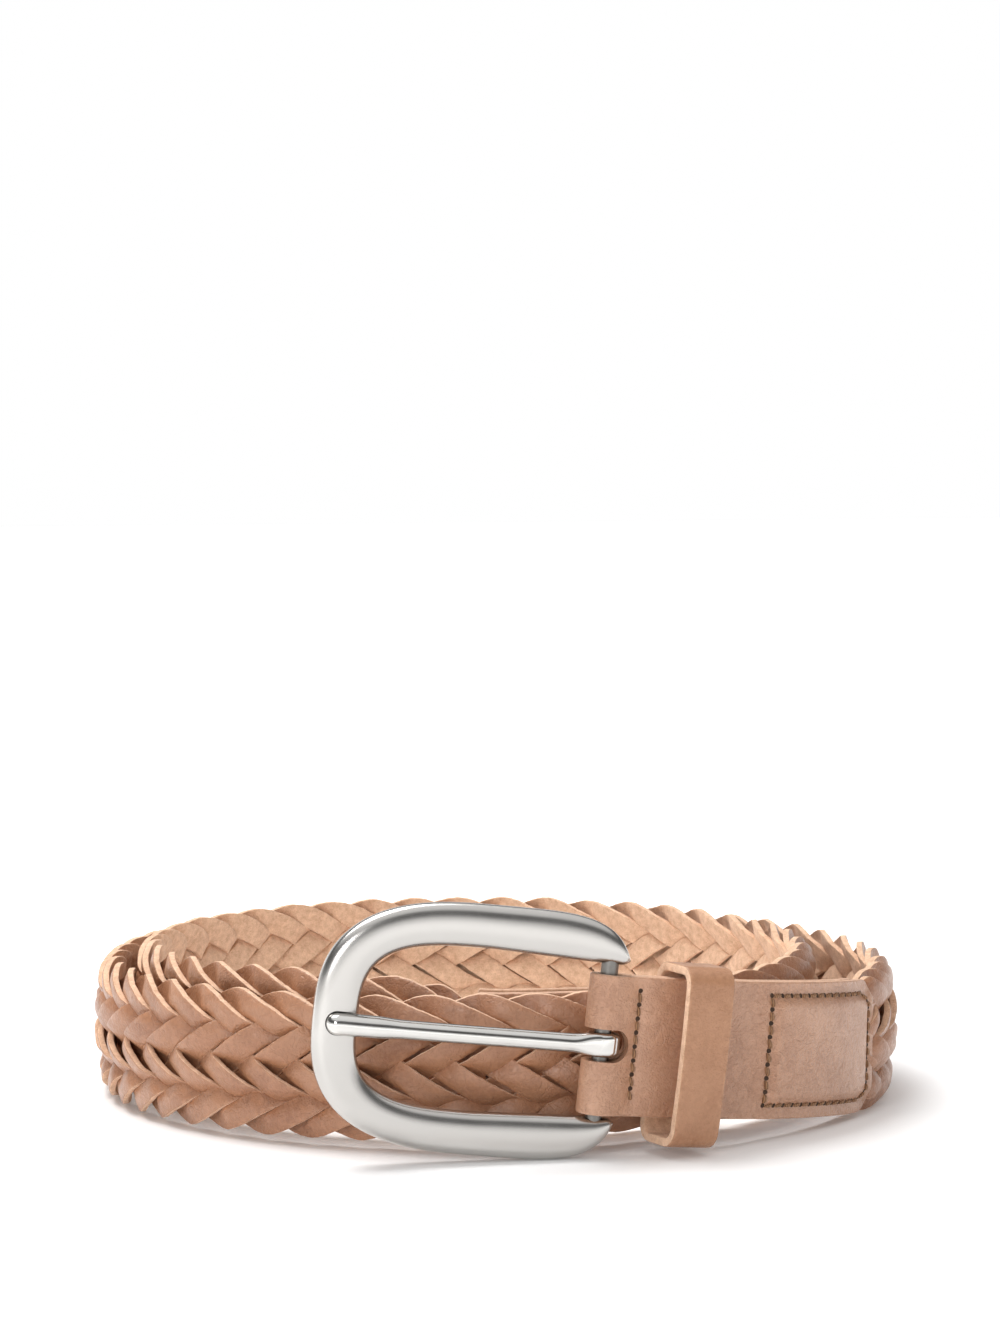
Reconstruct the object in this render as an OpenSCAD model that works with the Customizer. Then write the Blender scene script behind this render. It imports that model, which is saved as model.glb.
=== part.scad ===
// Braided leather belt, rolled up on its edge with the buckle at the front.
// X runs along the strap at the buckle, -Y faces outwards there, and Z is up.
// The origin is on the ground under the middle of the coil.

/* [Braid] */
// Width of the braided strap
braid_w = 32; // [26:0.5:38]
// Number of strands
strand_count = 9; // [9:2:9]
// Width of one strand
strand_w = 4.6; // [3.4:0.1:4.9]
// Thickness of one strand
strand_t = 1.3; // [0.8:0.1:1.6]
// Air left between two strands where they cross
strand_gap = 0.32; // [0.25:0.01:0.6]
// Distance along the belt from one strand to the next
braid_pitch = 11.3; // [9:0.1:14]
// How far the middle of the braid stands out from its edges
braid_crown = 2; // [0:0.1:2.5]

/* [Coil] */
// Radius of the coil at each quarter turn, from just before the buckle inwards
turn_radius = [90, 90, 91, 87, 80, 72, 83, 78, 68, 62];
// Height of the strap's lower edge over the ground at the same quarter turns
turn_lift = [0, 0, 0, 0, 2.4, 3, 2.4, 3.4, 5.4, 2.4];
// Angle of the first of those places before the buckle
first_turn_angle = 15; // [0:1:40]
// Height of the buckle bar's middle over the ground
bar_height = 24.6; // [22:0.1:30]
// Fall of the strap away from the buckle, in mm per mm
strap_slope = 0.11; // [0.05:0.01:0.14]
// Length of the strap from the buckle bar to the end of the tip
strap_len = 1066; // [900:1:1080]

/* [Tab] */
// Width of the smooth leather tab
tab_w = 30; // [24:0.5:34]
// Thickness of the tab's leather
leather_t = 2; // [1.4:0.1:2.4]
// Distance from the buckle bar to the start of the sleeve
sleeve_start = 36; // [34:1:44]
// Length of the sleeve that holds the braid's end
sleeve_len = 46; // [36:1:56]
// Distance from the buckle bar to the line of stitches that closes the fold
fold_seam = 6.8; // [6.4:0.1:9]
// Width of the slot for the prong
slot_w = 7; // [6:0.1:9]
// Radius of the sleeve's corners
sleeve_corner = 6; // [2:0.5:9]

/* [Buckle] */
// Length of the frame from the bar to its far end
frame_reach = 62; // [52:1:74]
// Height of the frame
frame_h = 53.4; // [48:0.2:64]
// Height of the frame's window
window_h = 35; // [33:0.2:40]
// Width of the band at the frame's far end
band_w = 9.5; // [7:0.1:12]
// Thickness of the frame
frame_t = 5; // [4.6:0.1:6]
// How far the frame sits above the middle of the tab
frame_rise = 0.7; // [0:0.1:1]
// Diameter of the bar
bar_d = 3.7; // [3:0.1:4.2]
// Angle that the frame is turned in from the line of the tab
rest_swing = 6; // [0:1:10]

/* [Prong] */
// Diameter of the prong's rod
prong_d = 4.8; // [3.5:0.1:5]
// Width of the prong's root on the bar
root_w = 5.2; // [4:0.1:6]
// Radial clearance of the root on the bar
root_gap = 0.08; // [0.02:0.01:0.1]

/* [Keeper] */
// Width of the keeper's band
keeper_w = 11; // [8:0.5:14]
// Thickness of the keeper's band
keeper_t = 1.9; // [1.4:0.1:2.4]
// Distance from the buckle bar to the middle of the keeper
keeper_at = 19; // [17:0.5:22]
// Gap in front of the tab for the free end of the belt
keeper_front_gap = 5.4; // [4.6:0.1:7]
// Gap behind the tab
keeper_back_gap = 1.4; // [1.3:0.1:2]
// Clear height inside the keeper
keeper_h = 35; // [33:0.2:40]
// How far the keeper hangs below the middle of the tab
keeper_drop = 1.2; // [0:0.1:2]

/* [Tip] */
// Length of the leather tip
tip_len = 54; // [40:1:100]
// Length of braid held inside the tip
tip_grip = 22; // [15:1:40]

/* [Stitching] */
// Length of one stitch
stitch_len = 2.1; // [1.5:0.1:3]
// Distance from one stitch to the next
stitch_pitch = 3; // [2.6:0.1:4]
// Thickness of the thread
thread_d = 0.7; // [0.4:0.1:1]
// Distance of the seams from the edge of the leather
seam_margin = 3; // [2:0.1:5]

/* [Hidden] */

// Place of the coil's centre, which puts the origin under the middle of the box
coil_x = -2;
coil_y = 2.3;

tan_leather = [0.79, 0.59, 0.45];
pale_leather = [0.85, 0.7, 0.56];
thread_brown = [0.5, 0.38, 0.25];
satin_steel = [0.8, 0.8, 0.79];
dark_steel = [0.35, 0.35, 0.36];

// ---- Centre line of the strap -------------------------------------------

// Smooth curve through a list of values, one per quarter turn
function spline(list, u) =
    let (last = len(list) - 1, i = max(0, min(last - 1, floor(u))), f = u - i,
         a = list[max(0, i - 1)], b = list[i], c = list[i + 1], d = list[min(last, i + 2)])
    b + f * (c - a) / 2 + f * f * (a - 2.5 * b + 2 * c - d / 2)
      + f * f * f * (1.5 * (b - c) + (d - a) / 2);

function ramp(t) = let (c = max(0, min(1, t))) c * c * (3 - 2 * c);
function mix(a, b, t) = a + (b - a) * t;
function unit(v) = v / norm(v);

function station(angle) = (angle + first_turn_angle) / 90;
function plan_point(angle) = spline(turn_radius, station(angle)) * [sin(angle), -cos(angle)];

// Length along the strap at every few degrees of turn
angle_step = 3;
angle_count = floor((90 * (len(turn_radius) - 1) - first_turn_angle) / angle_step);
function run(i, total) =
    i > angle_count ? [] :
    let (here = total + norm(plan_point(i * angle_step) - plan_point((i - 1) * angle_step)))
    concat([[here, i * angle_step]], run(i + 1, here));
length_table = concat([[0, 0]], run(1, 0));
function angle_at(s) =
    s < 0 ? s / turn_radius[0] * 180 / PI : lookup(s, length_table);

// Height of the strap's middle: an even fall from the buckle that runs out on the ground
fall_start = bar_height - braid_w / 2;
fall_straight = fall_start * 0.88 / strap_slope;
fall_rest = fall_start - fall_straight * strap_slope;
fall_blend = 2 * fall_rest / strap_slope;
function fall(s) =
    s < fall_straight ? fall_start - strap_slope * s :
    s < fall_straight + fall_blend ?
        fall_rest * pow(1 - (s - fall_straight) / fall_blend, 2) : 0;
function height_at(s) =
    braid_w / 2 + fall(s) + max(0, spline(turn_lift, station(angle_at(s))));
function centre(s) =
    let (p = plan_point(angle_at(s))) [p[0] + coil_x, p[1] + coil_y, height_at(s)];

// Directions at a place on the strap: along it, across it, and outwards
function along(s) = unit(centre(s + 1) - centre(s - 1));
function across(t) = unit([0, 0, 1] - t[2] * t);
function strap_frame(s) = let (t = along(s), w = across(t)) [centre(s), t, w, cross(t, w)];
function place(f, w, n) = f[0] + f[2] * w + f[3] * n;
function on_strap(s, w, n) = place(strap_frame(s), w, n);

// Puts children in the strap's own axes: X along it, Y inwards, Z across it
module at_strap(s) {
    f = strap_frame(s);
    multmatrix([[f[1][0], -f[3][0], f[2][0], f[0][0]],
                [f[1][1], -f[3][1], f[2][1], f[0][1]],
                [f[1][2], -f[3][2], f[2][2], f[0][2]],
                [0, 0, 0, 1]]) children();
}

// Closed solid through rings of four corners
module through_rings(rings) {
    last = len(rings) - 1;
    points = [for (r = rings) for (p = r) p];
    sides = [for (i = [0 : last - 1]) for (j = [0 : 3])
        let (a = 4 * i + j, b = 4 * i + (j + 1) % 4)
        each [[a, b, b + 4], [a, b + 4, a + 4]]];
    ends = [[2, 1, 0], [3, 2, 0],
            [4 * last, 4 * last + 1, 4 * last + 2], [4 * last, 4 * last + 2, 4 * last + 3]];
    polyhedron(points, concat(sides, ends));
}

// ---- Braid --------------------------------------------------------------

// Each strand goes over two and under two, and turns back at both edges
traverse = strand_count * braid_pitch / 2;
turn_w = braid_w / 2 - strand_w / 2;
zigzag_w = turn_w + 0.5;
lay = atan(2 * zigzag_w / traverse);
layer = (strand_t + strand_gap) / 2;
cross_u = 1 / strand_count;
hold_u = strand_w / 2 / sin(2 * lay) / (traverse / cos(lay)) + 0.0035;
edge_s = strand_w / 2 / sin(2 * lay) * cos(lay);
edge_w = strand_w / 2 / sin(2 * lay) * sin(lay);
// Half of the short level stretch where a strand turns back, as a share of a pass
turn_flat = 0.013;

// Places on one pass: [share of the pass, side of the braid it lies on]
pass = [[turn_flat, 0],
        [1 * cross_u - hold_u, 1], [2 * cross_u + hold_u, 1],
        [3 * cross_u - hold_u, -1], [4 * cross_u + hold_u, -1],
        [5 * cross_u - hold_u, 1], [6 * cross_u + hold_u, 1],
        [7 * cross_u - hold_u, -1], [8 * cross_u + hold_u, -1],
        [1 - turn_flat, 0]];

braid_start = sleeve_start + 9;
braid_end = strap_len - tip_len + tip_grip;
tip_start = strap_len - tip_len;
sleeve_end = sleeve_start + sleeve_len;
grip_share = 0.74;

// Share of its full width and crown that the braid has at a place on the strap
function spread(s) =
    ramp((s - sleeve_end + 2) / 13) * ramp((tip_start + 2 - s) / 13);

function braid_point(s, w, n) =
    let (open = spread(s), wide = w * mix(grip_share, 1, open), q = 2 * w / braid_w)
    on_strap(s, wide, n + open * braid_crown * (1 - q * q));

function strand_place(k, m, u) = (m + u) * traverse - k * braid_pitch;
function strand_ring(k, m, step) =
    let (u = step[0], down = m % 2 == 0 ? 1 : -1, at_turn = step[1] == 0,
         s = strand_place(k, m, u),
         w = down * (at_turn ? turn_w * sign(0.5 - u) : zigzag_w * (1 - 2 * u)),
         es = at_turn ? 0 : down * edge_s,
         ew = at_turn ? strand_w / 2 : edge_w,
         n = step[1] * layer, h = strand_t / 2)
    [braid_point(s - es, w - ew, n + h), braid_point(s + es, w + ew, n + h),
     braid_point(s + es, w + ew, n - h), braid_point(s - es, w - ew, n - h)];

module strand(k) {
    passes = ceil((braid_end + strand_count * braid_pitch) / traverse);
    color(k % 2 == 0 ? tan_leather : tan_leather * 0.96)
        through_rings([for (m = [0 : passes]) for (step = pass)
            let (s = strand_place(k, m, step[0]))
            if (s > braid_start && s < braid_end) strand_ring(k, m, step)]);
}

// ---- Tab and sleeve -----------------------------------------------------

bar_r = bar_d / 2;
root_r = bar_r + root_gap + 1.95;
fold_mid = bar_r + 0.15 + leather_t / 2;
closed_mid = leather_t / 2 + 0.05;
braid_half = layer + strand_t / 2;
sleeve_mid = braid_half + 0.15 + leather_t / 2;

// Distance of a leaf's middle from the centre line of the strap
function leaf_offset(s) =
    s < sleeve_start ? mix(fold_mid, closed_mid, ramp(s / fold_seam))
                     : mix(closed_mid, sleeve_mid, ramp((s - sleeve_start) / 7));

// Half width of the sleeve, rounded off at its end
function round_end(s, end, half, radius) =
    s < end - radius ? half :
    half - radius + sqrt(max(0, radius * radius - pow(s - end + radius, 2)));

function leaf_ring(s, side, half) =
    let (f = strap_frame(s), d = leaf_offset(s), h = leather_t / 2)
    [place(f, half, side * d + h), place(f, -half, side * d + h),
     place(f, -half, side * d - h), place(f, half, side * d - h)];

// Places along a leaf, close together only where its shape changes
leaf_stops = concat([for (i = [0 : 6]) i * fold_seam / 6],
                    [for (i = [1 : 4]) mix(fold_seam, sleeve_start, i / 4)],
                    [for (i = [1 : 4]) sleeve_start + 7 * i / 4],
                    [for (i = [1 : 6]) mix(sleeve_start + 7, sleeve_end - sleeve_corner, i / 6)],
                    [for (a = [30, 60, 75, 88]) sleeve_end - sleeve_corner * (1 - sin(a))]);
function leaf_half(s) = round_end(s, sleeve_end, tab_w / 2, sleeve_corner);

module tab_strap() {
    f = strap_frame(0);
    h = leather_t / 2;
    front = [for (i = [len(leaf_stops) - 1 : -1 : 0])
        leaf_ring(leaf_stops[i], 1, leaf_half(leaf_stops[i]))];
    // round the bar, from the front leaf to the back leaf
    fold = [for (a = [15 : 15 : 165])
        let (out = cos(a) * f[3] - sin(a) * f[1])
        [for (c = [[1, 1], [-1, 1], [-1, -1], [1, -1]])
            f[0] + f[2] * c[0] * tab_w / 2 + out * (fold_mid + c[1] * h)]];
    back = [for (s = leaf_stops)
        let (r = leaf_ring(s, -1, leaf_half(s))) [r[3], r[2], r[1], r[0]]];
    color(tan_leather) difference() {
        through_rings(concat(front, fold, back));
        at_strap(0) prong_slot();
    }
}

// The slot's round end clears the corners of the prong's root
slot_end = root_r + 0.3 + slot_w / 2 - sqrt(pow(slot_w / 2, 2) - pow(root_w / 2, 2));
module prong_slot() {
    rotate([90, 0, 0]) linear_extrude(4 * fold_mid, center = true) union() {
        translate([slot_end - slot_w / 2, 0]) circle(d = slot_w, $fn = 48);
        translate([-10, -slot_w / 2]) square([10 + slot_end - slot_w / 2, slot_w]);
    }
}

// ---- Stitching ----------------------------------------------------------

// One stitch from one place to another on the face of a leaf
module stitch(a, b, face) {
    fa = strap_frame(a[0]);
    fb = strap_frame(b[0]);
    run = unit(place(fb, b[1], 0) - place(fa, a[1], 0));
    side = cross(run, fa[3]) * thread_d / 2;
    function corners(f, w, n) =
        [place(f, w, n + thread_d / 2) + side, place(f, w, n + thread_d / 2) - side,
         place(f, w, n - 0.12) - side, place(f, w, n - 0.12) + side];
    ring_a = corners(fa, a[1], face);
    ring_b = corners(fb, b[1], face);
    through_rings([ring_a, ring_b]);
}

// A line of stitches between two places, on both faces of the strap
module seam(from, to, offset) {
    length = norm(to - from);
    count = max(1, round(length / stitch_pitch));
    step = (to - from) / count;
    bite = step * stitch_len / stitch_pitch / 2;
    for (i = [0 : count - 1]) {
        mid = from + step * (i + 0.5);
        face = offset(mid[0]) + leather_t / 2;
        stitch(mid - bite, mid + bite, face);
        stitch(mid - bite, mid + bite, -face - thread_d / 2 + 0.12);
    }
}

seam_w = tab_w / 2 - seam_margin;

module fold_stitching() {
    color(thread_brown)
        seam([fold_seam, seam_w], [fold_seam, -seam_w], function (s) leaf_offset(s));
}

sleeve_seam_start = sleeve_start + 4;
sleeve_seam_end = sleeve_end - seam_margin;
module sleeve_stitching() {
    inset = 3.5;
    corners = [[sleeve_seam_start, seam_w], [sleeve_seam_end - inset, seam_w],
               [sleeve_seam_end, seam_w - inset], [sleeve_seam_end, -seam_w + inset],
               [sleeve_seam_end - inset, -seam_w], [sleeve_seam_start, -seam_w]];
    color(thread_brown) for (i = [0 : 5])
        seam(corners[i], corners[(i + 1) % 6], function (s) leaf_offset(s));
}

// ---- Buckle -------------------------------------------------------------

// The buckle's own axes: X along the strap at the bar, Y inwards, Z along the bar
module at_bar() { at_strap(0) translate([0, 0, frame_rise]) children(); }
module at_frame() { at_bar() rotate([0, 0, -rest_swing]) children(); }

// Quarter of an oval that is squarer than an ellipse, in steps between two angles
function oval(rx, ry, power, from, to, count) =
    [for (i = [0 : count]) let (a = mix(from, to, i / count))
        [rx * pow(cos(a), 2 / power), ry * pow(sin(a), 2 / power)]];
function shift_x(list, x, dir) = [for (p = list) [x + dir * p[0], p[1]]];
function flip_y(list) = [for (i = [len(list) - 1 : -1 : 0]) [list[i][0], -list[i][1]]];

// Upper half of the frame: its outline from the arm's end to the far end, and its window's
crown_x = -26;
arm_end = 4;
arm_power = 4.4;
far_power = 2.7;
window_power = 3.3;
arm_inner = window_h / 2 - 1.1;
arm_angle = asin(pow(2 * arm_inner / frame_h, arm_power / 2));
half_outer = concat(
    shift_x(oval(arm_end - crown_x, frame_h / 2, arm_power, arm_angle, 90, 12), crown_x, 1),
    shift_x(oval(frame_reach + crown_x, frame_h / 2, far_power, 84, 6, 13), crown_x, -1));
half_window = concat(
    [[2 * arm_end, arm_inner], [0, arm_inner]],
    shift_x(oval(frame_reach - band_w + crown_x, window_h / 2, window_power, 90, 6, 14),
            crown_x, -1));

module frame_outline() {
    difference() {
        polygon(concat(half_outer, [[-frame_reach, 0]], flip_y(half_outer)));
        polygon(concat(half_window, [[band_w - frame_reach, 0]], flip_y(half_window)));
    }
}

// Depth that the bar's ends are pressed into the arms
bar_seat = 3;
module buckle_frame() {
    color(satin_steel) at_frame() difference() {
        rotate([90, 0, 0]) linear_extrude(frame_t, center = true) frame_outline();
        prong_seat();
        cylinder(r = bar_r, h = 2 * (arm_inner + bar_seat), center = true, $fn = 64);
    }
}

// Hollow in the far band that the prong's end rests in
prong_tip_x = -frame_reach + 2.6;
prong_root_y = -1.9;
prong_tip_y = -frame_t / 2 - prong_d / 2 + 1.5;
module prong_seat() {
    seat_r = prong_d / 2 + 0.3;
    translate([prong_tip_x + prong_d / 2, prong_tip_y, -frame_rise]) {
        rotate([0, 90, 0]) cylinder(r = seat_r, h = band_w + 4, $fn = 48);
        sphere(r = seat_r, $fn = 48);
    }
}

module buckle_bar() {
    color(dark_steel) at_frame()
        cylinder(r = bar_r, h = 2 * (arm_inner + bar_seat), center = true, $fn = 64);
}

// ---- Prong --------------------------------------------------------------

module prong() {
    far = [prong_tip_x + prong_d / 2, prong_tip_y];
    near = [-bar_r - 1.6, prong_root_y];
    span = norm(far - near);
    turn = atan2(far[1] - near[1], far[0] - near[0]);
    color(satin_steel) at_frame() translate([0, 0, -frame_rise]) difference() {
        union() {
            cylinder(r = root_r, h = root_w, center = true, $fn = 64);
            translate([near[0], near[1], 0]) rotate([0, 0, turn]) {
                rotate([0, 90, 0]) cylinder(d = prong_d, h = span, $fn = 48);
                translate([span, 0, 0]) sphere(d = prong_d, $fn = 48);
            }
        }
        cylinder(r = bar_r + root_gap, h = root_w + 2, center = true, $fn = 64);
    }
}

// ---- Keeper -------------------------------------------------------------

tab_half = closed_mid + leather_t / 2;
keeper_depth = keeper_front_gap + 2 * tab_half + keeper_back_gap;
keeper_mid_y = (keeper_back_gap - keeper_front_gap) / 2;

module rounded_box(size, radius) {
    hull() for (x = [-1, 1], y = [-1, 1])
        translate([x * (size[0] / 2 - radius), y * (size[1] / 2 - radius)])
            circle(r = radius, $fn = 32);
}

module at_keeper() {
    at_strap(keeper_at) translate([0, keeper_mid_y, -keeper_drop]) children();
}

module keeper_loop() {
    color(tan_leather) at_keeper() rotate([90, 0, 90])
        linear_extrude(keeper_w, center = true) difference() {
            rounded_box([keeper_depth + 2 * keeper_t, keeper_h + 2 * keeper_t], 4);
            rounded_box([keeper_depth, keeper_h], 4 - keeper_t);
        }
}

// Wire staple that closes the band at the back, with its two legs in the leather
staple_d = 0.8;
staple_w = 6;
module keeper_staple() {
    outside = keeper_depth / 2 + keeper_t;
    color(dark_steel) at_keeper() for (x = [-2.4, 2.4]) translate([x, 0, 0]) {
        translate([0, outside + staple_d / 4, 0])
            cube([staple_d, staple_d / 2, staple_w], center = true);
        for (z = [-1, 1])
            translate([0, outside - 0.5, z * (staple_w - staple_d) / 2])
                cube([staple_d, 1, staple_d], center = true);
    }
}

// ---- Tip ----------------------------------------------------------------

tip_corner = 13;
tip_close = tip_start + tip_grip + 1;
function tip_offset(s) =
    mix(sleeve_mid, closed_mid, ramp((s - tip_close) / 7));
tip_stops = concat([for (i = [0 : 6]) mix(tip_start, tip_close, i / 6)],
                   [for (i = [1 : 4]) tip_close + 7 * i / 4],
                   [for (i = [1 : 3]) mix(tip_close + 7, strap_len - tip_corner, i / 3)],
                   [for (a = [20, 40, 55, 70, 80, 88]) strap_len - tip_corner * (1 - sin(a))]);

module tip_leaf(side) {
    color(tan_leather) through_rings([for (s = tip_stops)
        let (f = strap_frame(s), d = side * tip_offset(s), h = leather_t / 2,
             half = round_end(s, strap_len, tab_w / 2, tip_corner))
        [place(f, -half, d + h), place(f, half, d + h),
         place(f, half, d - h), place(f, -half, d - h)]]);
}

module tip_stitching() {
    back = strap_len - tip_corner;
    corners = [[tip_start + seam_margin, seam_w], [back, seam_w],
               [back + 6, seam_w - 3], [strap_len - seam_margin, 0],
               [back + 6, 3 - seam_w], [back, -seam_w], [tip_start + seam_margin, -seam_w]];
    color(thread_brown) for (i = [0 : 6])
        seam(corners[i], corners[(i + 1) % 7], function (s) tip_offset(s));
}

buckle_frame();
buckle_bar();
prong();
tab_strap();
fold_stitching();
sleeve_stitching();
keeper_loop();
keeper_staple();
strand(0);  // strand_1
strand(1);  // strand_2
strand(2);  // strand_3
strand(3);  // strand_4
strand(4);  // strand_5
strand(5);  // strand_6
strand(6);  // strand_7
strand(7);  // strand_8
strand(8);  // strand_9
tip_leaf(1);  // tip_front
tip_leaf(-1);  // tip_back
tip_stitching();
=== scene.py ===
import math

import bpy
import numpy as np
from mathutils import Matrix, Vector


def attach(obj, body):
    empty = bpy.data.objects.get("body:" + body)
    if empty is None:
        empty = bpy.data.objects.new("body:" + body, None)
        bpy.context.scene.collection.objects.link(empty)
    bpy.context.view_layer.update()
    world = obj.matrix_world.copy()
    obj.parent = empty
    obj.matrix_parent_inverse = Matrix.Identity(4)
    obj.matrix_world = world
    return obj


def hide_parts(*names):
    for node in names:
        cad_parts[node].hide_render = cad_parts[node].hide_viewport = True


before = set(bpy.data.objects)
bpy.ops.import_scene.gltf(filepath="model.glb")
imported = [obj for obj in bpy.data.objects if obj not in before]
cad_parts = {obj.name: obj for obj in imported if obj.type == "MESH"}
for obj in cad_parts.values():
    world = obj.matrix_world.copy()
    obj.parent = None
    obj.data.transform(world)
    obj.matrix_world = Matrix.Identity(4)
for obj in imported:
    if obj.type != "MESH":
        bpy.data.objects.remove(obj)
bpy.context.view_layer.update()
bpy.ops.object.select_all(action="DESELECT")

# ---- Tab ------------------------------------------------------------------
# The tab is one strip of smooth vegetable-tanned leather, 2 mm thick, folded
# round the buckle's bar and stitched to itself. Its two leaves then part to
# hold the end of the braid between them, and the prong works in a slot.
MM = 0.001
# the coil's radius and the lift of its lower edge at each quarter turn inwards
TURN_RADII = np.array([90, 90, 91, 87, 80, 72, 83, 78, 68, 62]) * MM
TURN_LIFTS = np.array([0, 0, 0, 0, 2.4, 3, 2.4, 3.4, 5.4, 2.4]) * MM
FIRST_TURN, COIL_ENDS = 15, 795
COIL_CENTRE = (-2 * MM, 2.3 * MM)
BRAID_W = 32 * MM
BAR_HEIGHT = 24.6 * MM
STRAP_SLOPE, STRAIGHT_SHARE = 0.11, 0.88
STRAP_LEN = 1066 * MM
# the loose inner end sinks again, over a short run before it
END_DROOP, DROOP_BEFORE_END, DROOP_RUN = 3.4 * MM, 84 * MM, 36 * MM

LEATHER_T, LEATHER_ROUND = 2 * MM, 0.42 * MM
RUBBED_RIM = 1.1 * MM
TAB_W = 30 * MM
SLEEVE_START, SLEEVE_END = 36 * MM, 82 * MM
FOLD_SEAM = 6.8 * MM
SLEEVE_CORNER = 6 * MM
BAR_R = 1.85 * MM
SLOT_W, SLOT_END = 7 * MM, 5.34 * MM
BAR_PLAY, LEAF_PLAY = 0.15 * MM, 0.05 * MM
FOLD_MID = BAR_R + BAR_PLAY + LEATHER_T / 2
CLOSED_MID = LEATHER_T / 2 + LEAF_PLAY
SLEEVE_MID = 2.61 * MM
SWELL_RUN, SWELL_LOST_AT_EDGE = 7 * MM, 0.7
SWELL_EDGE, SWELL_EDGE_RUN = 9.5 * MM, 4 * MM
GROOVE_DEPTH, GROOVE_W = 0.5 * MM, 1.1 * MM
SEAM_MARGIN = 3 * MM
SEAM_W = TAB_W / 2 - SEAM_MARGIN


def ramp(t):
    c = np.clip(t, 0, 1)
    return c * c * (3 - 2 * c)


def mix(a, b, t):
    return a + (b - a) * t


def smooth_through(values, place):
    """Smooth curve through values one unit apart."""
    last = len(values) - 1
    i = np.clip(np.floor(place), 0, last - 1).astype(int)
    f = place - i
    a, b = values[np.maximum(0, i - 1)], values[i]
    c, d = values[i + 1], values[np.minimum(last, i + 2)]
    return (b + f * (c - a) / 2 + f**2 * (a - 2.5 * b + 2 * c - d / 2)
            + f**3 * (1.5 * (b - c) + (d - a) / 2))


def plan_point(angle):
    radius = smooth_through(TURN_RADII, (angle + FIRST_TURN) / 90)
    a = np.radians(angle)
    return np.stack([radius * np.sin(a), -radius * np.cos(a)], -1)


turn_angles = np.arange(0, COIL_ENDS + 1, 3.0)
turn_steps = np.linalg.norm(np.diff(plan_point(turn_angles), axis=0), axis=1)
turn_lengths = np.concatenate([[0], np.cumsum(turn_steps)])


def strap_middle(s):
    """Middle of the rolled strap at a length along it."""
    angle = np.where(s < 0, np.degrees(s / TURN_RADII[0]),
                     np.interp(s, turn_lengths, turn_angles))
    start = BAR_HEIGHT - BRAID_W / 2
    straight = start * STRAIGHT_SHARE / STRAP_SLOPE
    rest = start - straight * STRAP_SLOPE
    blend = 2 * rest / STRAP_SLOPE
    fall = np.where(s < straight, start - STRAP_SLOPE * s,
                    rest * np.clip(1 - (s - straight) / blend, 0, 1) ** 2)
    lift = np.maximum(0, smooth_through(TURN_LIFTS, (angle + FIRST_TURN) / 90))
    lift = lift - END_DROOP * ramp((s - STRAP_LEN + DROOP_BEFORE_END) / DROOP_RUN)
    plan = plan_point(angle) + np.array(COIL_CENTRE)
    return np.concatenate([plan, (BRAID_W / 2 + fall + lift)[..., None]], -1)


def unit(v):
    return v / np.linalg.norm(v, axis=-1, keepdims=True)


def strap_axes(s):
    """Middle of the strap, and the directions along it, across it and outwards."""
    s = np.asarray(s, float)
    along = unit(strap_middle(s + MM) - strap_middle(s - MM))
    across = unit(np.array([0, 0, 1.0]) - along[..., 2:3] * along)
    return strap_middle(s), along, across, np.cross(along, across)


def on_strap(s, w, n):
    """Points at a length along the strap, a place across it and a height over its middle."""
    middle, _, across, outward = strap_axes(s)
    return middle + across * np.asarray(w)[..., None] + outward * np.asarray(n)[..., None]


def leather_strip(name, length, width, thickness, along, across, rounding):
    """A flat strip, grain side up, with its long and short edges rounded over."""
    bpy.ops.mesh.primitive_grid_add(x_subdivisions=along, y_subdivisions=across, size=1)
    strip = bpy.context.object
    strip.name = strip.data.name = name
    strip.scale = (length, width, 1)
    bpy.ops.object.transform_apply(location=False, rotation=False, scale=True)
    body = strip.modifiers.new("body", "SOLIDIFY")
    body.thickness, body.offset = thickness, 0
    edge = strip.modifiers.new("edge", "BEVEL")
    edge.width, edge.segments = rounding, 3
    edge.limit_method, edge.angle_limit = "ANGLE", math.radians(60)
    for modifier in ("body", "edge"):
        bpy.ops.object.modifier_apply(modifier=modifier)
    strip.data.materials.append(None)
    strip.data.materials.append(None)
    # raw leather on the flesh side and the cut edges, grain on top
    grain_top = thickness / 2 - rounding * 0.6
    for face in strip.data.polygons:
        face.material_index = 0 if face.normal.z > 0.35 and face.center.z > grain_top else 1
    co = flat_points(strip)
    inside = np.minimum(length / 2 - abs(co[:, 0]), width / 2 - abs(co[:, 1]))
    store(strip, "rim", 1 - ramp(inside / RUBBED_RIM))
    return strip


def flat_points(piece):
    co = np.zeros(len(piece.data.vertices) * 3)
    piece.data.vertices.foreach_get("co", co)
    return co.reshape(-1, 3)


def store(piece, name, values):
    attribute = piece.data.attributes.new(name, "FLOAT", "POINT")
    attribute.data.foreach_set("value", np.asarray(values, np.float32))


def cover(strip, grain, raw):
    strip.data.materials[0] = grain
    strip.data.materials[1] = raw


def lay(piece, points):
    """Moves a flat piece's points to their places on the belt."""
    piece.data.vertices.foreach_set("co", np.asarray(points, float).ravel())
    piece.data.update()


def face_outwards(piece, angle=40):
    bpy.context.view_layer.objects.active = piece
    piece.select_set(True)
    bpy.ops.object.mode_set(mode="EDIT")
    bpy.ops.mesh.select_all(action="SELECT")
    bpy.ops.mesh.remove_doubles(threshold=1e-7)
    bpy.ops.mesh.normals_make_consistent(inside=False)
    bpy.ops.object.mode_set(mode="OBJECT")
    bpy.ops.object.shade_smooth_by_angle(angle=math.radians(angle))
    bpy.ops.object.select_all(action="DESELECT")


def new_material(name):
    material = bpy.data.materials.new(name)
    material.use_nodes = True
    tree = material.node_tree
    return material, tree, tree.nodes["Principled BSDF"]


def link(tree, *pairs):
    for out, into in pairs:
        tree.links.new(out, into)


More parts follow.
